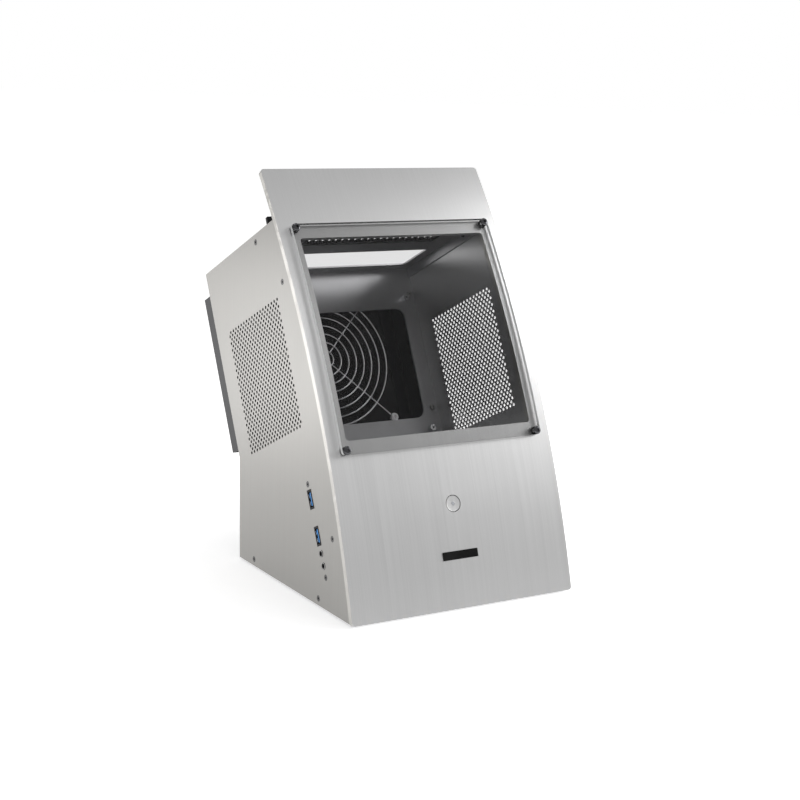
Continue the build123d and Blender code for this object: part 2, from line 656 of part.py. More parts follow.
# ---------------------------------------------------------------- hood behind the chamber
HOOD_MID = -(HOOD_TOP + HOOD_BOTTOM) / 2
HOOD_H = HOOD_BOTTOM - HOOD_TOP
OUTLET_RINGS, OUTLET_STEP, OUTLET_D = 7, 9.0, 5.0
with BuildPart() as rear_hood:
    with BuildSketch(chamber):
        with Locations((0, HOOD_MID)):
            Rectangle(HOOD_W, HOOD_H)
    extrude(amount=-HOOD_DEPTH)
    with BuildSketch(chamber):
        with Locations((0, HOOD_MID - SHEET)):
            Rectangle(HOOD_W - 2 * SHEET, HOOD_H)
    extrude(amount=-(HOOD_DEPTH - SHEET), mode=Mode.SUBTRACT)
    with BuildSketch(chamber):
        with Locations((0, HOOD_MID)):
            with GridLocations(HOOD_W + HOOD_FLANGE, 1, 2, 1):
                Rectangle(HOOD_FLANGE, HOOD_H)
        with Locations(*HOOD_SPOTS):
            Circle(1.5, mode=Mode.SUBTRACT)
    extrude(amount=-SHEET)
    with BuildSketch(chamber.offset(-HOOD_DEPTH)):
        with Locations((0, -FAN_AT)):
            for ring in range(1, OUTLET_RINGS + 1):
                with PolarLocations(ring * OUTLET_STEP, 6 * ring):
                    Circle(OUTLET_D / 2)
        with Locations(*FAN_SPOTS):
            Circle(2.1)
    extrude(amount=SHEET, mode=Mode.SUBTRACT)
finish(rear_hood, "rear_hood", "gray")

with BuildPart() as hood_screws:
    for spot in HOOD_SPOTS:
        with BuildSketch(chamber.offset(SHEET)):
            with Locations(spot):
                Circle(3.0)
        extrude(amount=1.8, taper=15)
        with BuildSketch(chamber.offset(SHEET)):
            with Locations(spot):
                Circle(1.5)
        extrude(amount=-5)
        with BuildSketch(chamber.offset(SHEET + 1.8)):
            with Locations(spot):
                Rectangle(3, 0.7)
                Rectangle(0.7, 3)
        extrude(amount=-1, mode=Mode.SUBTRACT)
finish(hood_screws, "hood_screws", "white")

# ---------------------------------------------------------------- fan
FAN_BACK = -HOOD_DEPTH + SHEET
BORE_R, DUCT_R, FAN_FLANGE = 66.5, 69.0, 4.0
MOTOR_R, STRUT_W = 22.0, 5.0
fan_back = chamber.offset(FAN_BACK)
fan_axis = Plane(origin=fan_back.from_local_coords((0, -FAN_AT, 0)), x_dir=(1, 0, 0), z_dir=lean_dir)
with BuildPart() as fan_frame:
    for height in (0, FAN_T - FAN_FLANGE):
        with BuildSketch(fan_axis.offset(height)):
            RectangleRounded(FAN_SIZE, FAN_SIZE, 5)
        extrude(amount=FAN_FLANGE)
    with BuildSketch(fan_axis):
        Circle(DUCT_R)
    extrude(amount=FAN_T)
    with BuildSketch(fan_axis):
        Circle(BORE_R)
        with GridLocations(FAN_SCREWS, FAN_SCREWS, 2, 2):
            Circle(2.15)
    extrude(amount=FAN_T, mode=Mode.SUBTRACT)
    with BuildSketch(fan_axis):
        Circle(MOTOR_R)
        with PolarLocations(BORE_R / 2, 4, start_angle=45):
            Rectangle(BORE_R + 2, STRUT_W)
    extrude(amount=3)
    with BuildSketch(fan_axis.offset(3)):
        Circle(5.2)
        Circle(4.0, mode=Mode.SUBTRACT)
    extrude(amount=11)
finish(fan_frame, "fan_frame", "black")

with BuildPart() as fan_bearing:
    with BuildSketch(fan_axis.offset(3)):
        Circle(4.0)
        Circle(1.55, mode=Mode.SUBTRACT)
    extrude(amount=14)
finish(fan_bearing, "fan_bearing", "gold")

with BuildPart() as fan_coils:
    with BuildSketch(fan_axis.offset(4)):
        Circle(7.5)
        with PolarLocations(11, 4):
            Rectangle(8, 4)
            with Locations((4, 0)):
                Rectangle(3, 14)
        Circle(5.2, mode=Mode.SUBTRACT)
    extrude(amount=8)
finish(fan_coils, "fan_coils", "orange")

HUB_R, HUB_FRONT, HUB_WALL, BLADES, TIP_R = 21.5, 22.5, 1.8, 9, 61.5
BLADE_ROOT_IN, BLADE_SWEEP, BLADE_MID = 1.2, 6.0, 13.5  # root inside the hub, tip ahead, middle height
ROOT_CHORD, ROOT_T, ROOT_PITCH = 18.0, 1.8, 42
TIP_CHORD, TIP_T, TIP_PITCH = 34.0, 1.4, 24
ROTOR_BACK = 4.0  # hub's open end, over the fan's back
SHAFT_R, SHAFT_BACK = 1.5, 3.3
with BuildPart() as fan_shaft:
    with BuildSketch(fan_axis.offset(SHAFT_BACK)):
        Circle(SHAFT_R)
    extrude(amount=HUB_FRONT - SHAFT_BACK - 1.5)
finish(fan_shaft, "fan_shaft", "gray")

with BuildPart() as fan_rotor:
    with BuildSketch(fan_axis.offset(ROTOR_BACK)):
        Circle(HUB_R)
    extrude(amount=HUB_FRONT - ROTOR_BACK)
    fillet(fan_rotor.faces().sort_by(Axis(fan_axis.origin, fan_axis.z_dir))[-1].edges(), 2)
    with BuildSketch(fan_axis.offset(ROTOR_BACK)):
        Circle(HUB_R - HUB_WALL)
    extrude(amount=HUB_FRONT - ROTOR_BACK - 2.5, mode=Mode.SUBTRACT)
    with BuildSketch(fan_axis.offset(HUB_FRONT - 2.5)):
        Circle(3.4)
    extrude(amount=-2)
    with BuildSketch(fan_axis.offset(HUB_FRONT - 1.5)):
        Circle(SHAFT_R)
    extrude(amount=-4, mode=Mode.SUBTRACT)
    for blade in range(BLADES):
        turn = 360 / BLADES * blade
        middle = fan_axis.offset(BLADE_MID)
        spoke = turned(middle, turn)
        root_spot = spoke.from_local_coords((HUB_R - BLADE_ROOT_IN, 0, 0))
        tip_spot = spoke.from_local_coords((TIP_R, BLADE_SWEEP, 0))
        root = Plane(origin=root_spot, x_dir=spoke.y_dir, z_dir=spoke.x_dir)
        tip = Plane(origin=tip_spot, x_dir=spoke.y_dir, z_dir=spoke.x_dir)
        with BuildSketch(turned(root, ROOT_PITCH)):
            SlotOverall(ROOT_CHORD, ROOT_T)
        with BuildSketch(turned(tip, TIP_PITCH)):
            SlotOverall(TIP_CHORD, TIP_T)
        loft()
finish(fan_rotor, "fan_rotor", "dimgray")

GUARD_RINGS, GUARD_STEP, WIRE_R, EYE_R = 8, 8.2, 0.8, 3.4
GUARD_BACK = FAN_T + WIRE_R
with BuildPart() as fan_guard:
    rings = fan_axis.offset(GUARD_BACK + 1.2)
    with Locations(rings):
        for ring in range(1, GUARD_RINGS + 1):
            Torus(ring * GUARD_STEP, WIRE_R)
    reach = FAN_HALF * 2**0.5 - EYE_R
    arms = fan_axis.offset(GUARD_BACK)
    for turn in (45, 135, 225, 315):
        arm = turned(arms, turn)
        start = Plane(origin=arm.from_local_coords((GUARD_STEP - 1, 0, 0)), z_dir=arm.x_dir)
        with BuildSketch(start):
            Circle(WIRE_R)
        extrude(amount=reach - GUARD_STEP + 1)
    with Locations(arms):
        with GridLocations(FAN_SCREWS, FAN_SCREWS, 2, 2):
            Torus(EYE_R, WIRE_R)
finish(fan_guard, "fan_guard", "white")

with BuildPart() as fan_screws:
    for x in (-FAN_HALF, FAN_HALF):
        for y in (-FAN_HALF, FAN_HALF):
            with BuildSketch(fan_axis.offset(FAN_T + 2 * WIRE_R + 0.05)):
                with Locations((x, y)):
                    Circle(4.2)
            extrude(amount=2, taper=15)
            with BuildSketch(fan_axis.offset(FAN_T + 2 * WIRE_R + 0.05)):
                with Locations((x, y)):
                    Circle(2.0)
            extrude(amount=-(FAN_T + 2 * WIRE_R + 0.05 + SHEET))
            with BuildSketch(fan_axis.offset(FAN_T + 2 * WIRE_R + 2.05)):
                with Locations((x, y)):
                    Rectangle(4, 0.9)
                    Rectangle(0.9, 4)
            extrude(amount=-1.2, mode=Mode.SUBTRACT)
finish(fan_screws, "fan_screws", "white")

# ---------------------------------------------------------------- side connectors
inside = slope.offset(INNER)
MODULE_MID = -sum(MODULE_SCREWS) / 2
BOARD_FACE = MODULE_AT - USB_H / 2
BOARD_T, BOARD_L, BOARD_REACH = 1.6, 70.0, 22.0
with BuildPart() as connector_bracket:
    with BuildSketch(inside):
        with Locations((MODULE_AT, MODULE_MID)):
            Rectangle(20, MODULE_SCREWS[1] - MODULE_SCREWS[0] + 12)
        with Locations(*[(MODULE_AT, -down) for down in USB_AT]):
            Rectangle(USB_H + 0.2, USB_L + 0.2, mode=Mode.SUBTRACT)
        with Locations(*BIG_HOLES):
            Circle(JACK_D / 2 + 0.05, mode=Mode.SUBTRACT)
        with Locations(*[(MODULE_AT, -down) for down in MODULE_SCREWS]):
            Circle(SCREW_R, mode=Mode.SUBTRACT)
    extrude(amount=-1)
    with BuildSketch(slope.offset(INNER - 1)):
        with Locations((BOARD_FACE - BOARD_T - 0.5, MODULE_MID)):
            Rectangle(1, BOARD_L + 4)
    extrude(amount=-BOARD_REACH)
finish(connector_bracket, "connector_bracket", "gray")

with BuildPart() as connector_board:
    with BuildSketch(slope.offset(INNER - 1.2)):
        with Locations((BOARD_FACE - BOARD_T / 2, MODULE_MID)):
            Rectangle(BOARD_T, BOARD_L)
    extrude(amount=-BOARD_REACH + 1)
finish(connector_board, "connector_board", "green")

PORT_FACE = BODY_W / 2 + 0.3
with BuildPart() as usb_ports:
    with BuildSketch(slope.offset(PORT_FACE)):
        with Locations(*[(MODULE_AT, -down) for down in USB_AT]):
            Rectangle(USB_H, USB_L)
    extrude(amount=-USB_DEPTH)
    with BuildSketch(slope.offset(PORT_FACE)):
        with Locations(*[(MODULE_AT, -down) for down in USB_AT]):
            Rectangle(5.0, 13.2)
    extrude(amount=-USB_DEPTH + 1.5, mode=Mode.SUBTRACT)
finish(usb_ports, "usb_ports", "black")

with BuildPart() as usb_tongues:
    with BuildSketch(slope.offset(PORT_FACE - USB_DEPTH + 1.5)):
        with Locations(*[(MODULE_AT + 1.2, -down) for down in USB_AT]):
            Rectangle(1.9, 11.5)
    extrude(amount=USB_DEPTH - 2.6)
finish(usb_tongues, "usb_tongues", "blue")

with BuildPart() as audio_jacks:
    for down in JACK_AT:
        with BuildSketch(slope.offset(PORT_FACE)):
            with Locations((MODULE_AT, -down)):
                Circle(JACK_D / 2)
        extrude(amount=-3.2)
        with BuildSketch(slope.offset(INNER - 1)):
            with Locations((MODULE_AT, -down)):
                Rectangle(USB_H, 8)
        extrude(amount=-12)
        with BuildSketch(slope.offset(PORT_FACE)):
            with Locations((MODULE_AT, -down)):
                Circle(1.75)
        extrude(amount=-13, mode=Mode.SUBTRACT)
finish(audio_jacks, "audio_jacks", "black")

with BuildPart() as connector_screws:
    for f, z in MODULE_SPOTS:
        add(flush_screw(left_face, (f, z), 4))
finish(connector_screws, "connector_screws", "white")

# ---------------------------------------------------------------- drive bracket
DRIVE_L, DRIVE_H = 100.0, 76.0
DRIVE_HOLES = (76.6, 61.7)  # side screw pattern of a 2.5 inch drive
drive_side = side.offset(-BRACKET_X)
drive_mid = (BRACKET_AT, SHEET + DRIVE_H / 2)
with BuildPart() as drive_bracket:
    with BuildSketch(drive_side):
        with Locations(drive_mid):
            Rectangle(DRIVE_L, DRIVE_H)
            with GridLocations(*DRIVE_HOLES, 2, 2):
                Circle(1.6, mode=Mode.SUBTRACT)
            SlotOverall(50, 24, mode=Mode.SUBTRACT)
    extrude(amount=-SHEET)
    with BuildSketch(floor.offset(SHEET)):
        with Locations((BRACKET_X - 6, -BRACKET_AT)):
            Rectangle(12, DRIVE_L)
            with GridLocations(1, 2 * BRACKET_SCREW_Y, 1, 2):
                Circle(1.6, mode=Mode.SUBTRACT)
    extrude(amount=SHEET)
finish(drive_bracket, "drive_bracket", "gray")

with BuildPart() as drive_bracket_screws:
    for y in (-BRACKET_SCREW_Y, BRACKET_SCREW_Y):
        with BuildSketch(floor.offset(2 * SHEET)):
            with Locations((BRACKET_X - 6, -BRACKET_AT + y)):
                Circle(3.0)
        extrude(amount=1.8, taper=15)
        with BuildSketch(floor.offset(2 * SHEET)):
            with Locations((BRACKET_X - 6, -BRACKET_AT + y)):
                Circle(1.5)
        extrude(amount=-2 * SHEET)
finish(drive_bracket_screws, "drive_bracket_screws", "white")
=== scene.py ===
"""Looks of a small desktop computer case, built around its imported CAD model.

Everything is in metres, in the CAD model's own frame: +X to the viewer's right,
-Y to the front and +Z up.
"""

import json
from math import cos, pi, radians, sin

import bmesh
import bpy
import numpy as np
from mathutils import Matrix, Vector


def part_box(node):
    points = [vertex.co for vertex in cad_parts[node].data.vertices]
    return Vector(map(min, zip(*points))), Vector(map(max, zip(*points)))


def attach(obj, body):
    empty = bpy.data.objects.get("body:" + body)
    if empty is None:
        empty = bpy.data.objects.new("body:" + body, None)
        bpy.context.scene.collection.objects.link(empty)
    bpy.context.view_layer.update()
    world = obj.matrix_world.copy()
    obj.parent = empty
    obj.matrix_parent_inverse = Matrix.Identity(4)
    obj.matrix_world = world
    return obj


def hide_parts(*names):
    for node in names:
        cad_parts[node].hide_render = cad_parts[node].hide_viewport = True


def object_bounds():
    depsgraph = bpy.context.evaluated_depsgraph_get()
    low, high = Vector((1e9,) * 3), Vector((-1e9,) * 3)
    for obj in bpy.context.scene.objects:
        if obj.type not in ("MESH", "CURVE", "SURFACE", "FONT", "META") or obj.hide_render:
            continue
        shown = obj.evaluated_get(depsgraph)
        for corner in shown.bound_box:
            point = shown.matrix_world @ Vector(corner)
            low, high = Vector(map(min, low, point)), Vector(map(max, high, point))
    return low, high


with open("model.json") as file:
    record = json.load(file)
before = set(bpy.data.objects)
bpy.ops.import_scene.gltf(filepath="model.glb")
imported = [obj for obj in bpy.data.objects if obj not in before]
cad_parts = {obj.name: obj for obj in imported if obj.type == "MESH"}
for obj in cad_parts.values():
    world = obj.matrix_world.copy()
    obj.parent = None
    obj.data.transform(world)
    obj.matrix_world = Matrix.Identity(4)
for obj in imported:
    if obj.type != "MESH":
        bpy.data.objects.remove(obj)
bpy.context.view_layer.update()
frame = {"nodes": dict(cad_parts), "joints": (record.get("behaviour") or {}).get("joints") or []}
nodes = frame["nodes"]
MM = 0.001

joints = {joint["name"]: joint for joint in frame["joints"]}
chamber_normal = Vector(joints["fan_spin"]["axis"]).normalized()
roof_normal = Vector((1, 0, 0)).cross(chamber_normal).normalized()
front_normal = -Vector(joints["power_button_press"]["axis"]).normalized()


# ---------------------------------------------------------------- shader helpers
def look(name, color, metallic=0.0, roughness=0.5, **sockets):
    """A Principled material with its even values on the shader's own sockets."""
    material = bpy.data.materials.new(name)
    material.use_nodes = True
    shader = material.node_tree.nodes["Principled BSDF"]
    values = {"Base Color": (*color, 1.0), "Metallic": metallic, "Roughness": roughness}
    values.update({key.replace("_", " "): value for key, value in sockets.items()})
    for socket, value in values.items():
        shader.inputs[socket].default_value = value
    return material


def add(material, kind, inputs, **properties):
    """A new node. An input is a value, or another node's output to link to."""
    node = material.node_tree.nodes.new(kind)
    for key, value in properties.items():
        setattr(node, key, value)
    for key, value in inputs.items():
        if isinstance(value, bpy.types.NodeSocket):
            material.node_tree.links.new(value, node.inputs[key])
        else:
            node.inputs[key].default_value = value
    return node


def feed(material, socket, output):
    """Links an output to a socket of the material's shader."""
    shader = material.node_tree.nodes["Principled BSDF"]
    material.node_tree.links.new(output, shader.inputs[socket])


def noise(material, per_metre, detail=3.0):
    """Noise over the piece. per_metre is how often it changes along x, y and z."""
    place = add(material, "ShaderNodeTexCoord", {})
    spots = {"Vector": place.outputs["Object"], "Scale": per_metre}
    scaled = add(material, "ShaderNodeMapping", spots)
    grain = {"Vector": scaled.outputs["Vector"], "Scale": 1.0, "Detail": detail}
    return add(material, "ShaderNodeTexNoise", grain).outputs[0]


def spread(material, value, low, high, start=0.3, end=0.7):
    """The value stretched from start-end, where noise mostly lies, to low-high."""
    ends = {"Value": value, "From Min": start, "From Max": end, "To Min": low, "To Max": high}
    return add(material, "ShaderNodeMapRange", ends).outputs["Result"]


def tones(material, value, dark, light):
    """A colour from dark, at 0, to light, at 1."""
    ramp = add(material, "ShaderNodeValToRGB", {"Fac": value})
    ramp.color_ramp.elements[0].color = (*dark, 1)
    ramp.color_ramp.elements[1].color = (*light, 1)
    return ramp.outputs["Color"]


def average(material, first, second, share):
    """first and second mixed, with that share of second."""
    part = add(material, "ShaderNodeMath", {0: second, 1: share}, operation="MULTIPLY")
    rest = add(material, "ShaderNodeMath", {0: first, 1: 1 - share}, operation="MULTIPLY")
    both = {0: part.outputs[0], 1: rest.outputs[0]}
    return add(material, "ShaderNodeMath", both, operation="ADD").outputs[0]


def bump(material, height, distance, strength=1.0):
    """Fine relief on the shader's normal, distance deep in metres."""
    relief = {"Height": height, "Distance": distance, "Strength": strength}
    feed(material, "Normal", add(material, "ShaderNodeBump", relief).outputs["Normal"])


def outside(material, centre, axes):
    """0 on a shell's inner faces, which look along the given axes towards a point in it, and 1 elsewhere."""
    geometry = add(material, "ShaderNodeNewGeometry", {})
    place = add(material, "ShaderNodeTexCoord", {})
    away = {0: place.outputs["Object"], 1: centre}
    offset = add(material, "ShaderNodeVectorMath", away, operation="SUBTRACT").outputs["Vector"]
    kept = add(material, "ShaderNodeVectorMath", {0: offset, 1: axes}, operation="MULTIPLY").outputs["Vector"]
    pair = {0: geometry.outputs["Normal"], 1: kept}
    dot = add(material, "ShaderNodeVectorMath", pair, operation="DOT_PRODUCT").outputs["Value"]
    return spread(material, dot, 0, 1, -0.03, -0.01)


def blend_colors(material, share, first, second):
    """A colour between two others; each is a colour or another node's output."""
    mix = add(material, "ShaderNodeMix", {0: share}, data_type="RGBA")
    for index, value in ((6, first), (7, second)):
        if isinstance(value, bpy.types.NodeSocket):
            material.node_tree.links.new(value, mix.inputs[index])
        else:
            mix.inputs[index].default_value = (*value, 1)
    return mix.outputs[2]


def facing(material, direction):
    """How squarely the surface faces a direction or its opposite, 0 to 1."""
    geometry = add(material, "ShaderNodeNewGeometry", {})
    pair = {0: geometry.outputs["Normal"], 1: direction}
    dot = add(material, "ShaderNodeVectorMath", pair, operation="DOT_PRODUCT")
    return add(material, "ShaderNodeMath", {0: dot.outputs["Value"]}, operation="ABSOLUTE").outputs[0]


# ---------------------------------------------------------------- materials
BRUSH_RATES = {"fine": (1500.0, 6.0), "broad": (420.0, 3.0)}  # marks per metre across the grain and along it
BRUSH_DEPTH = 0.00003
CLOUD_RATE, BROAD_SHARE, CLOUD_SHARE = 7.0, 0.25, 0.25


def brushed(name, color, across, roughness, contrast=0.065, inner=None, axes=(1, 0, 0), edge=None):
    """Brushed anodised aluminium, whose marks differ most across one axis.

    inner is the colour of the inner faces of a shell, whose walls stand across the axes,
    and edge is a colour and the two shares of facing x between which it comes in.
    Both paint light and shade: the inner faces, the flanks and the hole walls take
    colours of their own for how they are lit.
    """
    metal = look(name, color, 1.0, roughness, Anisotropic=0.55)
    marks = {}
    for size, (quick, slow) in BRUSH_RATES.items():
        scale = [quick if axis == across else slow for axis in range(3)]
        marks[size] = noise(metal, scale, 4.0)
    streaks = average(metal, marks["fine"], marks["broad"], BROAD_SHARE)
    cloud = noise(metal, (CLOUD_RATE,) * 3, 2.0)
    shade = average(metal, streaks, cloud, CLOUD_SHARE)
    dark = [value * (1 - contrast) for value in color]
    light = [min(1.0, value * (1 + contrast)) for value in color]
    shown = tones(metal, spread(metal, shade, 0, 1), dark, light)
    # inner: painted light and shade on a shell's inner faces, coloured apart from its outer faces
    if inner:
        shown = blend_colors(metal, outside(metal, INSIDE, axes), inner, shown)
    # edge: a painted highlight on flanks, painted light and shade on the walls of holes
    if edge:
        edge_color, start, end = edge
        share = spread(metal, facing(metal, (1, 0, 0)), 0, 1, start, end)
        shown = blend_colors(metal, share, shown, edge_color)
    feed(metal, "Base Color", shown)
    feed(metal, "Roughness", spread(metal, streaks, roughness - 0.04, roughness + 0.05))
    turn = {axis: 1.0 if axis == across else 0.0 for axis in range(3)}
    feed(metal, "Tangent", add(metal, "ShaderNodeCombineXYZ", turn).outputs[0])
    bump(metal, streaks, BRUSH_DEPTH, 0.6)
    return metal


def plain_metal(name, color, roughness, mottle=0.06, scale=900.0, depth=0.00001):
    """Plated or turned metal with small changes of tone and polish."""
    metal = look(name, color, 1.0, roughness)
    grain = noise(metal, (scale,) * 3, 5.0)
    stain = average(metal, grain, noise(metal, (40.0,) * 3, 2.0), 0.5)
    dark = [value * (1 - mottle) for value in color]
    light = [min(1.0, value * (1 + mottle)) for value in color]
    feed(metal, "Base Color", tones(metal, spread(metal, stain, 0, 1), dark, light))
    feed(metal, "Roughness", spread(metal, stain, roughness * 0.75, roughness * 1.3))
    bump(metal, grain, depth, 0.5)
    return metal


def moulded(name, color, roughness, texture=2600.0, depth=0.00002, **sockets):
    """Moulded plastic or rubber with a fine spark texture."""
    plastic = look(name, color, 0.0, roughness, **sockets)
    grain = noise(plastic, (texture,) * 3, 4.0)
    scuffs = noise(plastic, (60.0, 90.0, 60.0), 5.0)
    light = [value * 1.5 + 0.006 for value in color]
    feed(plastic, "Base Color", tones(plastic, spread(plastic, scuffs, 0, 1), color, light))
    feed(plastic, "Roughness", spread(plastic, grain, roughness - 0.07, roughness + 0.1))
    bump(plastic, grain, depth, 0.7)
    return plastic


def tinted_plate():
    """Smoked acrylic, clear through its face. Its left and right edges carry a painted highlight, the others
    a painted shadow.
    """
    plate = look("smoked_acrylic", SMOKE, 0.0, 0.04, IOR=1.49)
    plate_low, plate_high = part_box("window_plate")
    rise = plate_high - plate_low
    outward = Vector((0, -rise.z, rise.y)).normalized()
    face = facing(plate, outward)
    feed(plate, "Alpha", spread(plate, face, EDGE_ALPHA, PLATE_ALPHA, 0.35, 0.8))
    dust = noise(plate, (300.0,) * 3, 6.0)
    side = spread(plate, facing(plate, (1, 0, 0)), 0, 1, 0.5, 0.9)
    # painted highlight on the x-facing edges, painted shadow on the top and bottom edges
    plate_edge_light_and_shade = blend_colors(plate, side, PLATE_EDGE_PAINTED_SHADOW, PLATE_EDGE_PAINTED_HIGHLIGHT)
    feed(plate, "Base Color", blend_colors(plate, spread(plate, face, 0, 1, 0.35, 0.8), plate_edge_light_and_shade, SMOKE))
    feed(plate, "Roughness", spread(plate, dust, 0.03, 0.09))
    return plate


def board_mask():
    """Solder mask over copper tracks, which run as blocks of raised lines."""
    board = look("solder_mask", (0.02, 0.11, 0.06), 0.0, 0.35, Coat_Weight=0.4)
    place = add(board, "ShaderNodeTexCoord", {})
    cells = {"Vector": place.outputs["Object"], "Scale": 420.0}
    tracks = add(board, "ShaderNodeTexVoronoi", cells, feature="DISTANCE_TO_EDGE", distance="EUCLIDEAN")
    line = spread(board, tracks.outputs["Distance"], 0, 1, 0.04, 0.1)
    feed(board, "Base Color", tones(board, line, (0.05, 0.22, 0.11), (0.015, 0.09, 0.05)))
    bump(board, line, 0.00004, 0.5)
    return board


X, Y = 0, 1  # axes that the marks differ across
PLATE_ALPHA, EDGE_ALPHA = 0.17, 0.94  # how opaque the window plate is, seen through its face and its edges
# Painted shadow on the window plate's top and bottom edges, painted highlight on its left and right edges.
PLATE_EDGE_PAINTED_SHADOW, PLATE_EDGE_PAINTED_HIGHLIGHT = (0.05, 0.05, 0.05), (0.80, 0.81, 0.81)
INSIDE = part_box("fan_rotor")[0].lerp(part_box("window_plate")[1], 0.4)
INSIDE.x = 0
SILVER = (0.62, 0.62, 0.62)
WARM_SILVER = (0.37, 0.362, 0.348)
# Painted highlight on the front panel's flanks.
FLANK_PAINTED_HIGHLIGHT = (0.55, 0.54, 0.515)
# Painted light on the walls of the right panel's holes.
HOLE_WALL_PAINTED_LIGHT = (0.8, 0.8, 0.8)
# Painted shade on the walls of the left panel's holes.
HOLE_WALL_PAINTED_SHADE = (0.09, 0.09, 0.09)
GREY_METAL = (0.45, 0.45, 0.46)
HOOD_GREY = (0.07, 0.07, 0.072)
# Painted light on the side panels' inner faces, lighter than their outer faces.
SIDE_INNER_PAINTED_LIGHT = (0.54, 0.54, 0.545)
# Painted shade on the hood's inner faces.
HOOD_INNER_PAINTED_SHADE = (0.05, 0.05, 0.05)
BLACK = SMOKE = (0.012, 0.012, 0.013)

# Shares of facing x between which a panel's face changes to the painted highlight of its flanks, or to the
# painted light and shade on the walls of its holes.
FLANKS, HOLE_WALLS = (0.6, 0.9), (0.6, 0.3)
# Side panels: their inner faces carry painted light.
SIDE_METAL = {"color": WARM_SILVER, "across": Y, "roughness": 0.38, "contrast": 0.07, "inner": SIDE_INNER_PAINTED_LIGHT}

# Front panel: its flanks carry a painted highlight.
front_finish = brushed("brushed_front", SILVER, X, 0.36, edge=(FLANK_PAINTED_HIGHLIGHT, *FLANKS))
# Left panel: the walls of its holes carry painted shade.
left_finish = brushed("brushed_left_painted_hole_shade", edge=(HOLE_WALL_PAINTED_SHADE, *HOLE_WALLS), **SIDE_METAL)
# Right panel: the walls of its holes carry painted light.
right_finish = brushed("brushed_right_painted_hole_light", edge=(HOLE_WALL_PAINTED_LIGHT, *HOLE_WALLS), **SIDE_METAL)
# Hood: its inner faces carry painted shade.
hood_finish = brushed("brushed_hood", HOOD_GREY, Y, 0.4, 0.06, inner=HOOD_INNER_PAINTED_SHADE, axes=(1, 1, 1))
inner_finish = brushed("brushed_inner", GREY_METAL, X, 0.4, 0.06)
chrome_finish = plain_metal("dark_chrome", (0.085, 0.085, 0.09), 0.09, 0.04)
dark_steel_finish = plain_metal("dark_steel", (0.12, 0.12, 0.12), 0.3, 0.12, 500.0)
steel_finish = plain_metal("zinc_plate", (0.36, 0.36, 0.35), 0.28, 0.12, 500.0)
wire_finish = plain_metal("plated_wire", (0.78, 0.78, 0.79), 0.16, 0.05)
brass_finish = plain_metal("turned_brass", (0.78, 0.60, 0.28), 0.24, 0.08)
copper_finish = plain_metal("enamelled_copper", (0.74, 0.34, 0.16), 0.28, 0.1)
plastic_finish = moulded("black_plastic", BLACK, 0.52, Specular_IOR_Level=0.25)
gloss_finish = moulded("black_gloss", (0.004, 0.004, 0.004), 0.2, 500.0, 0.000002, Specular_IOR_Level=0.08)
blue_finish = moulded("blue_plastic", (0.01, 0.19, 0.52), 0.38)
blade_finish = moulded("blade_plastic", (0.008, 0.008, 0.008), 0.8, Specular_IOR_Level=0.2)
rubber_finish = moulded("rubber", (0.02, 0.02, 0.02), 0.72, 1800.0, 0.00005)
light_finish = moulded("light_pipe", (0.30, 0.31, 0.33), 0.34, 900.0, 0.000005, Coat_Weight=0.3)
window_finish = tinted_plate()
board_finish = board_mask()

FINISHES = {
    front_finish: ["front_panel", "power_button"],
    left_finish: ["left_side_panel"],
    right_finish: ["right_side_panel"],
    hood_finish: ["rear_hood", "rear_lower_wall"],
    inner_finish: [
        "rear_wall", "top_panel", "bottom_panel", "slot_covers",
        "front_clips", "connector_bracket", "drive_bracket",
    ],
    chrome_finish: ["window_screws"],
    steel_finish: [
        "window_nuts", "hood_screws", "slot_cover_screws", "button_screws", "drive_bracket_screws",
        "button_spring", "fan_shaft",
    ],
    dark_steel_finish: ["side_screws", "connector_screws"],
    wire_finish: ["fan_guard", "fan_screws", "board_standoffs"],
    brass_finish: ["fan_bearing"],
    copper_finish: ["fan_coils"],
    plastic_finish: ["button_housing", "button_switch", "top_grille", "usb_ports", "audio_jacks"],
    blade_finish: ["fan_frame", "fan_rotor"],
    gloss_finish: ["badge_plate"],
    blue_finish: ["usb_tongues"],
    rubber_finish: ["window_washers", "feet", "power_supply_pads"],
    light_finish: ["power_light"],
    window_finish: ["window_plate"],
    board_finish: ["connector_board"],
}
for finish, names in FINISHES.items():
    for name in names:
        data = nodes[name].data
        data.materials.clear()
        data.materials.append(finish)


# ---------------------------------------------------------------- mesh helpers
def around(radius, angle, height):
    """A point at a radius and an angle round the z axis."""
    return Vector((radius * cos(angle), radius * sin(angle), height))


def spun_at(point, axis):
    """A place at a point whose z axis runs along the axis and whose x axis stays level."""
    z_dir = Vector(axis).normalized()
    x_dir = Vector((1, 0, 0))
    turn = Matrix((x_dir, z_dir.cross(x_dir), z_dir)).transposed().to_4x4()
    return Matrix.Translation(point) @ turn


def round_ring(angle):
    """Radius of a circle, as a share of its own."""
    return 1.0


def hexagon(angle):
    """Radius of a hexagon, over its flats."""
    return 1 / cos(angle % (pi / 3) - pi / 6)


def cross(angle):
    """Radius of a cross recess, over its arms."""
    return max(0.34, abs(cos(2 * angle)) ** 5)


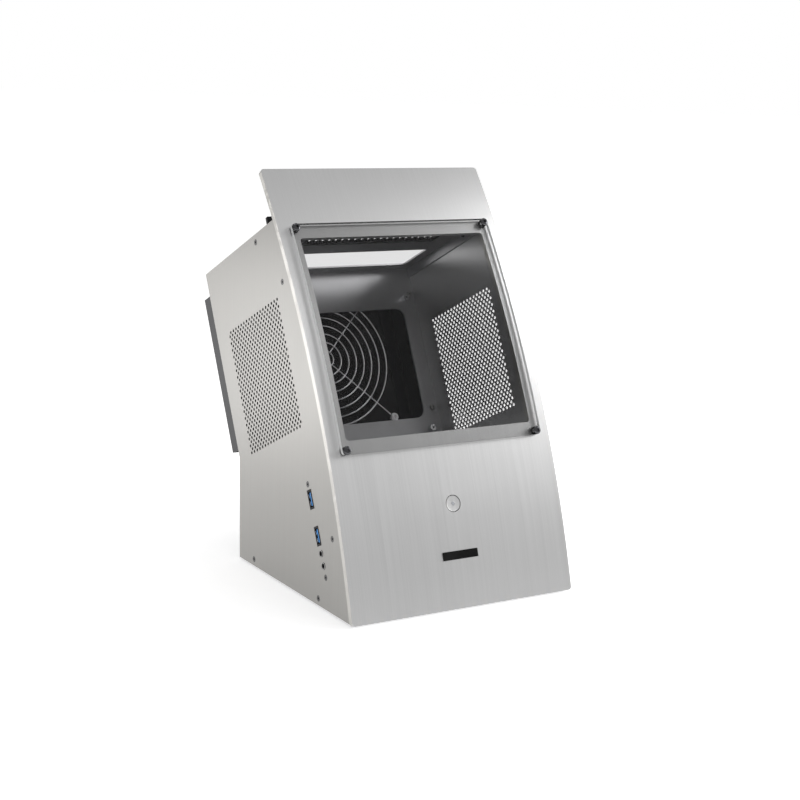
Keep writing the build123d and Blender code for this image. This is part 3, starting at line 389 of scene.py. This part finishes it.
def lathe(mesh, place, profile, steps=48):
    """Adds a closed skin round the place's z axis from (radius, height, shape) points."""
    rings = []
    for radius, height, shape in profile:
        if radius == 0:
            rings.append([mesh.verts.new(place @ Vector((0, 0, height)))])
            continue
        ring = []
        for step in range(steps):
            angle = 2 * pi * step / steps
            ring.append(mesh.verts.new(place @ around(radius * shape(angle), angle, height)))
        rings.append(ring)
    for low, high in zip(rings, rings[1:]):
        for step in range(steps):
            after = (step + 1) % steps
            corners = [low[step % len(low)], low[after % len(low)]]
            corners += [high[after % len(high)], high[step % len(high)]]
            unique = list(dict.fromkeys(corners))
            if len(unique) > 2:
                mesh.faces.new(unique)


def tube(mesh, path, radius, sides=8):
    """Adds a closed ring of wire along a path of points."""
    count = len(path)
    middle = sum(path, Vector()) / count
    flat = (path[1] - path[0]).cross(path[2] - middle).normalized()
    rings = []
    for index, point in enumerate(path):
        ahead = (path[(index + 1) % count] - path[index - 1]).normalized()
        out = ahead.cross(flat).normalized()
        turns = [2 * pi * side / sides for side in range(sides)]
        rings.append([mesh.verts.new(point + radius * (cos(t) * out + sin(t) * flat)) for t in turns])
    for low, high in zip(rings, rings[1:] + rings[:1]):
        for side in range(sides):
            after = (side + 1) % sides
            mesh.faces.new((low[side], low[after], high[after], high[side]))


def block(mesh, place, size, bevel):
    """Adds a box with rounded edges, its middle at the place."""
    made = bmesh.ops.create_cube(mesh, size=1, matrix=place @ Matrix.Diagonal((*size, 1)))
    edges = {edge for vert in made["verts"] for edge in vert.link_edges}
    bmesh.ops.bevel(mesh, geom=list(edges), offset=bevel, segments=3, profile=0.5, affect="EDGES")


def piece(name, fill, finish, body="case", stands_for=(), sharp=38):
    """A new object from a function that fills a mesh, riding on a CAD body."""
    mesh = bmesh.new()
    fill(mesh)
    bmesh.ops.recalc_face_normals(mesh, faces=mesh.faces)
    data = bpy.data.meshes.new(name)
    mesh.to_mesh(data)
    mesh.free()
    data.materials.append(finish)
    data.shade_smooth()
    data.set_sharp_from_angle(angle=radians(sharp))
    made = bpy.data.objects.new(name, data)
    bpy.context.scene.collection.objects.link(made)
    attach(made, body)
    if stands_for:
        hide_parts(*stands_for)
    return made


def solids(name):
    """The separate solids of a CAD node, each as an array of its points."""
    data = nodes[name].data
    spots, group = {}, []

    def find(index):
        while group[index] != index:
            index = group[index]
        return index

    keys = [tuple(round(value, 6) for value in vert.co) for vert in data.vertices]
    for key in keys:
        if key not in spots:
            spots[key] = len(group)
            group.append(len(group))
    for face in data.polygons:
        first = find(spots[keys[face.vertices[0]]])
        for vert in face.vertices[1:]:
            group[find(spots[keys[vert]])] = first
    found = {}
    for key, index in spots.items():
        found.setdefault(find(index), []).append(key)
    return [np.array(points) for points in found.values()]


def stations(name, axis=None):
    """For each screw of a node: its place, z out of its head, and its whole length."""
    places = []
    for points in solids(name):
        middle = points.mean(0)
        lean = np.array(axis) if axis else np.linalg.svd(points - middle)[2][0]
        along = (points - middle) @ lean
        radii = np.linalg.norm(points - middle - np.outer(along, lean), axis=1)
        if radii[along > along.mean()].max() < radii[along < along.mean()].max():
            lean, along = -lean, -along
        ring = points[along > along.max() - 0.0001]
        top = ring.mean(0)
        towards = Vector(lean)
        turn = Vector((0, 0, 1)).rotation_difference(towards).to_matrix().to_4x4()
        places.append((Matrix.Translation(Vector(top)) @ turn, along.max() - along.min()))
    return places


# ---------------------------------------------------------------- screws
PITCH = 0.7 * MM


def screw(mesh, place, length, head, shank, recess):
    """A domed screw. head is its radius and height; recess its radius, depth and shape."""
    (head_r, head_h), (recess_r, depth, shape) = head, recess
    low = -length
    profile = [(0, low, round_ring), (shank * 0.7, low, round_ring)]
    for turn in range(int((length - head_h) / PITCH) - 1):
        height = low + (turn + 0.5) * PITCH
        profile += [(shank, height, round_ring), (shank * 0.84, height + PITCH / 2, round_ring)]
    profile += [(shank, -head_h - 0.1 * MM, round_ring), (shank, -head_h, round_ring)]
    profile += [(head_r - 0.15 * MM, -head_h, round_ring)]
    flat = recess_r * 1.32
    for step in range(10):
        angle = pi / 2 * step / 9
        reach = flat + (head_r - flat) * cos(angle)
        profile.append((reach, -head_h + head_h * (0.12 + 0.88 * sin(angle)), round_ring))
    profile += [(recess_r * 1.1, 0, shape), (recess_r, -0.12 * MM, shape), (recess_r * 0.97, -depth, shape)]
    profile += [(0, -depth - 0.25 * MM, round_ring)]
    lathe(mesh, place, profile)


def screws(name, head, shank, recess, axis=None):
    """A filler for all screws of a node."""

    def fill(mesh):
        for place, length in stations(name, axis):
            screw(mesh, place, length, head, shank, recess)

    return fill


CROSS = (1.9 * MM, 1.1 * MM, cross)
piece(
    "window_button_screws",
    screws("window_screws", (3.8 * MM, 2.3 * MM), 1.95 * MM, (1.25 * MM, 1.4 * MM, hexagon)),
    chrome_finish, stands_for=["window_screws"],
)
piece(
    "fan_domed_screws",
    screws("fan_screws", (4.2 * MM, 2.0 * MM), 1.9 * MM, (2.2 * MM, 1.3 * MM, cross), chamber_normal),
    wire_finish, stands_for=["fan_screws"],
)
piece(
    "hood_domed_screws",
    screws("hood_screws", (3.0 * MM, 1.8 * MM), 1.45 * MM, CROSS, chamber_normal),
    steel_finish, stands_for=["hood_screws"],
)
piece(
    "slot_domed_screws",
    screws("slot_cover_screws", (3.2 * MM, 2.0 * MM), 1.4 * MM, CROSS, roof_normal),
    steel_finish, stands_for=["slot_cover_screws"],
)


# ---------------------------------------------------------------- power button
CAP_R, CAP_DEPTH, COLLAR_R, COLLAR_T = 7.0 * MM, 6.0 * MM, 8.4 * MM, 1.6 * MM
STEM_R, STEM_END, LENS_R = 2.4 * MM, 14.0 * MM, 1.7 * MM
GROOVES, GROOVE = 11, 0.035 * MM
button_points = np.concatenate(solids("power_button"))
cap_face = float((button_points @ np.array(front_normal)).max())
lens_low, lens_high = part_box("power_light")
lens_mid = (lens_low + lens_high) / 2
button_face = lens_mid + front_normal * (cap_face - lens_mid.dot(front_normal))


def fill_button(mesh):
    """The cap's face is dished and turned in fine rings; a collar and a stem are behind it."""
    profile = [(0, -4 * MM, round_ring), (LENS_R, -4 * MM, round_ring), (LENS_R, -0.1 * MM, round_ring)]
    run = CAP_R - 0.35 * MM - LENS_R - 0.1 * MM
    for step in range(2 * GROOVES + 1):
        share = step / (2 * GROOVES)
        dish = 0.22 * MM * (1 - share**2)
        groove = GROOVE if step % 2 else 0
        profile.append((LENS_R + 0.1 * MM + run * share, -dish - groove, round_ring))
    profile += [(CAP_R, -0.35 * MM, round_ring), (CAP_R, -CAP_DEPTH, round_ring)]
    profile += [(COLLAR_R, -CAP_DEPTH, round_ring), (COLLAR_R, -CAP_DEPTH - COLLAR_T, round_ring)]
    profile += [(STEM_R, -CAP_DEPTH - COLLAR_T, round_ring), (STEM_R, -STEM_END + 0.4 * MM, round_ring)]
    profile += [(STEM_R - 0.4 * MM, -STEM_END, round_ring), (0, -STEM_END, round_ring)]
    lathe(mesh, spun_at(button_face, front_normal), profile, 72)


piece("turned_power_button", fill_button, front_finish, "button", ["power_button"], sharp=50)


def fill_lens(mesh):
    """A short light guide with a domed end."""
    profile = [(0, -4.0 * MM, round_ring), (LENS_R - 0.02 * MM, -4.0 * MM, round_ring)]
    for step in range(7):
        angle = pi / 2 * step / 6
        reach = (LENS_R - 0.02 * MM) * cos(angle) if step < 6 else 0
        profile.append((reach, -0.55 * MM + 0.4 * MM * sin(angle), round_ring))
    lathe(mesh, spun_at(button_face, front_normal), profile, 40)


piece("domed_power_light", fill_lens, light_finish, "button", ["power_light"])

# ---------------------------------------------------------------- fan
HUB_R, HUB_BACK, HUB_FRONT, MID_HEIGHT = 21.5 * MM, 4.0 * MM, 22.5 * MM, 13.5 * MM
BLADES, TIP_R = 9, 65.0 * MM
fan_back = Vector(joints["fan_spin"]["pos_m"]) - chamber_normal * MID_HEIGHT
fan_place = spun_at(fan_back, chamber_normal)


def fill_blade(mesh, turn):
    """One blade: a cambered section that grows and flattens towards its tip."""
    spans, chords = 14, 12
    sides = []
    for face in (1, -1):
        grid = []
        for span in range(spans + 1):
            share = span / spans
            radius = HUB_R - 0.8 * MM + (TIP_R - HUB_R + 0.8 * MM) * share
            chord = (28 + 36 * share) * MM
            pitch = radians(29 - 11 * share)
            sweep = 8 * MM * share**2
            row = []
            for step in range(chords + 1):
                where = step / chords
                across = (where - 0.5) * chord
                thick = 1.5 * MM * (1 - 0.35 * share) * (4 * where * (1 - where)) ** 0.5 + 0.25 * MM
                rise = 0.09 * chord * 4 * where * (1 - where) + face * thick / 2
                arc = across * cos(pitch) - rise * sin(pitch) + sweep
                height = MID_HEIGHT + across * sin(pitch) + rise * cos(pitch) - 1.0 * MM
                angle = turn + arc / radius
                row.append(mesh.verts.new(fan_place @ around(radius, angle, height)))
            grid.append(row)
        sides.append(grid)
        for low, high in zip(grid, grid[1:]):
            for step in range(chords):
                mesh.faces.new((low[step], low[step + 1], high[step + 1], high[step]))
    over, under = sides
    rims = [
        ([row[0] for row in over], [row[0] for row in under]),
        ([row[-1] for row in over], [row[-1] for row in under]),
        (over[0], under[0]),
        (over[-1], under[-1]),
    ]
    for first, second in rims:
        for step in range(len(first) - 1):
            mesh.faces.new((first[step], first[step + 1], second[step + 1], second[step]))


def fill_rotor(mesh):
    """The hub is a cup, open at the back, with a rounded front edge and a shallow ring."""
    wall, boss = HUB_R - 1.8 * MM, 3.4 * MM
    top = HUB_FRONT
    profile = [(1.5 * MM, top - 5.5 * MM, round_ring)]
    profile += [(boss, top - 4.5 * MM, round_ring), (boss, top - 2.5 * MM, round_ring)]
    profile += [(wall, top - 2.5 * MM, round_ring), (wall, HUB_BACK, round_ring)]
    profile.append((HUB_R, HUB_BACK, round_ring))
    for step in range(7):
        angle = pi / 2 * step / 6
        profile.append((HUB_R - 2 * MM * (1 - cos(angle)), top - 2 * MM * (1 - sin(angle)), round_ring))
    profile += [(16 * MM, top, round_ring), (15.6 * MM, top - 0.4 * MM, round_ring)]
    profile.append((0, top - 0.4 * MM, round_ring))
    lathe(mesh, fan_place, profile, 96)
    for blade in range(BLADES):
        fill_blade(mesh, 2 * pi * blade / BLADES)


piece("fan_impeller", fill_rotor, blade_finish, "rotor", ["fan_rotor"])


def fill_windings(mesh):
    """Four iron arms, each wound with layers of round wire."""
    wire = 0.28 * MM
    low, high = 4.4 * MM, 11.6 * MM
    height = (low + high) / 2
    for arm in range(4):
        turned = fan_place @ Matrix.Rotation(pi / 2 * arm, 4, "Z")
        core = Matrix.Translation(((5.4 + 15.8) / 2 * MM, 0, height))
        block(mesh, turned @ core, (10.2 * MM, 3.2 * MM, high - low - 1.8 * MM), 0.3 * MM)
        shoe = Matrix.Translation((15.6 * MM, 0, height))
        block(mesh, turned @ shoe, (1.4 * MM, 13 * MM, high - low), 0.4 * MM)
        for layer in range(2):
            for turn in range(11):
                reach = (8.2 + turn * 0.6) * MM
                half_w = (1.95 + 0.55 * layer) * MM
                half_h = (high - low) / 2 - (0.55 - 0.5 * layer) * MM
                path = []
                for corner in range(24):
                    angle = 2 * pi * (corner + 0.5) / 24
                    square = (abs(cos(angle)) ** 6 + abs(sin(angle)) ** 6) ** (-1 / 6)
                    across, up = half_w * square * cos(angle), half_h * square * sin(angle)
                    path.append(turned @ Vector((reach, across, height + up)))
                tube(mesh, path, wire, 6)


piece("fan_windings", fill_windings, copper_finish, stands_for=["fan_coils"])


# ---------------------------------------------------------------- side connectors
CONTACTS, CONTACT_PITCH = 4, 2.5 * MM
CONTACT_SIZE = (9 * MM, 1.0 * MM, 0.3 * MM)
TIP_GAP = 1.1 * MM  # from the port's mouth to the CAD tongue's end
TIP_SIZE = (1.2 * MM, 11.3 * MM, 1.8 * MM)
SPRING_SIZE, SPRING_ACROSS = (3.6 * MM, 3.6 * MM, 0.5 * MM), 3.2 * MM


def tongue_places(inward):
    """A place for each tongue, at its middle or, if inward is given, that far in from its outer end."""
    for points in solids("usb_tongues"):
        low, high = Vector(points.min(0)), Vector(points.max(0))
        spot = (low + high) / 2
        if inward is not None:
            spot.x = low.x + inward
        yield Matrix.Translation(spot) @ spun_at(Vector(), chamber_normal)


def fill_contacts(mesh):
    """Four spring contacts on each tongue, just proud of its face."""
    for place in tongue_places(None):
        for number in range(CONTACTS):
            across = (number - (CONTACTS - 1) / 2) * CONTACT_PITCH
            spot = Matrix.Translation((-1.5 * MM, across, -1.05 * MM))
            block(mesh, place @ spot, CONTACT_SIZE, 0.1 * MM)


piece("usb_contacts", fill_contacts, brass_finish)


def fill_tips(mesh):
    """The rounded tip of each tongue, which reaches nearly to the mouth."""
    for place in tongue_places(-0.3 * MM):
        block(mesh, place, TIP_SIZE, 0.3 * MM)


piece("usb_tongue_tips", fill_tips, blue_finish)


def fill_springs(mesh):
    """Two spring fingers of the metal shell, on the port's rear inner wall."""
    for mouth in tongue_places(-TIP_GAP):
        for across in (-SPRING_ACROSS, SPRING_ACROSS):
            spot = Matrix.Translation((2.2 * MM, across, -3.35 * MM))
            block(mesh, mouth @ spot, SPRING_SIZE, 0.15 * MM)


piece("usb_shell_springs", fill_springs, wire_finish)


def fill_bezels(mesh):
    """A plated bezel round each socket's mouth."""
    for points in solids("audio_jacks"):
        outer = points[points[:, 0] < points[:, 0].min() + 0.0001]
        mouth = Vector(outer.mean(0))
        place = Matrix.Translation(mouth) @ Matrix.Rotation(-pi / 2, 4, "Y")
        offsets = (outer - outer.mean(0)) / MM
        rim = float(np.linalg.norm(offsets, axis=1).max()) - 0.1
        profile = [(rim - 0.65, -0.03), (rim - 0.55, 0.12), (rim - 0.2, 0.12), (rim, 0.0), (rim, -0.03)]
        profile.append(profile[0])
        lathe(mesh, place, [(radius * MM, height * MM, round_ring) for radius, height in profile])


piece("jack_bezels", fill_bezels, steel_finish)


# ---------------------------------------------------------------- studio
FLOOR_R, FLOOR_GLOW, FLOOR_GAP = 14.0, 0.5, 0.0002
WORLD_DIM, WORLD_BRIGHT = 0.42, 0.62
BRIGHT_SIDE = Vector((0.75, -0.35, 0.55)).normalized()
lowest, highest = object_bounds()
middle = (lowest + highest) / 2


def make_floor():
    """A wide pale disc that the feet stand on."""
    mesh = bmesh.new()
    bmesh.ops.create_circle(mesh, cap_ends=True, segments=96, radius=FLOOR_R)
    data = bpy.data.meshes.new("floor")
    mesh.to_mesh(data)
    mesh.free()
    glow = {"Emission_Color": (1, 1, 1, 1), "Emission_Strength": FLOOR_GLOW}
    paper = look("floor_paper", (0.93, 0.93, 0.93), 0.0, 0.9, **glow)
    fibres = noise(paper, (55.0,) * 3, 4.0)
    feed(paper, "Base Color", tones(paper, spread(paper, fibres, 0, 1), (0.92,) * 3, (0.94,) * 3))
    data.materials.append(paper)
    floor = bpy.data.objects.new("floor", data)
    bpy.context.scene.collection.objects.link(floor)
    floor.location.z = lowest.z - FLOOR_GAP


def aim(thing, target):
    """Turns a light so that it shines at the target."""
    thing.rotation_euler = (target - thing.location).to_track_quat("-Z", "Y").to_euler()


def softbox(name, azimuth, elevation, distance, size, power):
    """A soft rectangular light round the object. Azimuth 0 is in front, 90 to the right."""
    light = bpy.data.lights.new(name, "AREA")
    light.shape = "RECTANGLE"
    light.size, light.size_y = size
    light.energy = power
    turn, rise = radians(azimuth), radians(elevation)
    lamp = bpy.data.objects.new(name, light)
    lamp.location = middle + distance * Vector((sin(turn) * cos(rise), -cos(turn) * cos(rise), sin(rise)))
    aim(lamp, middle)
    bpy.context.scene.collection.objects.link(lamp)


def make_world():
    """A pale room, darker low at the back left, that the camera itself sees as white."""
    world = bpy.data.worlds.new("studio")
    world.use_nodes = True
    bpy.context.scene.world = world
    tree = world.node_tree
    back = tree.nodes["Background"]
    place = add(world, "ShaderNodeTexCoord", {})
    pair = {0: place.outputs["Generated"], 1: BRIGHT_SIDE}
    dot = add(world, "ShaderNodeVectorMath", pair, operation="DOT_PRODUCT")
    level = spread(world, dot.outputs["Value"], WORLD_DIM, WORLD_BRIGHT, -0.9, 0.9)
    path = add(world, "ShaderNodeLightPath", {})
    seen = {0: path.outputs["Is Camera Ray"], 1: level}
    whole = add(world, "ShaderNodeMath", seen, operation="MAXIMUM")
    tree.links.new(whole.outputs[0], back.inputs["Strength"])
    back.inputs["Color"].default_value = (1, 1, 1, 1)


LENS, SENSOR = 74.063, 36.0
CAMERA_AZIMUTH, CAMERA_TILT, CAMERA_ROLL = radians(31.967), radians(-11.963), radians(2.063)
CAMERA_RANGE = 1.48202
CAMERA_AIM = Vector((0.01405, -0.01522, -0.02616))  # from the object's middle


def make_camera():
    """A long lens from the front left, a little above the object and turned slightly."""
    data = bpy.data.cameras.new("camera")
    data.lens, data.sensor_width = LENS, SENSOR
    level = cos(CAMERA_TILT)
    forward = Vector((sin(CAMERA_AZIMUTH) * level, cos(CAMERA_AZIMUTH) * level, sin(CAMERA_TILT)))
    flat_right = forward.cross(Vector((0, 0, 1))).normalized()
    flat_up = flat_right.cross(forward)
    right = cos(CAMERA_ROLL) * flat_right + sin(CAMERA_ROLL) * flat_up
    turn = Matrix((right, right.cross(forward), -forward)).transposed().to_4x4()
    camera = bpy.data.objects.new("camera", data)
    bpy.context.scene.collection.objects.link(camera)
    camera.matrix_world = Matrix.Translation(middle + CAMERA_AIM - forward * CAMERA_RANGE) @ turn
    bpy.context.scene.camera = camera


make_floor()
make_world()
softbox("front_right_key", 67, 24, 1.12, (0.45, 0.8), 6.6)
softbox("left_card", -131, -15, 0.66, (0.34, 0.44), 0.75)
softbox("overhead", 170, 74, 2.2, (1.2, 1.2), 8)
make_camera()
bpy.context.scene.view_settings.view_transform = "Standard"
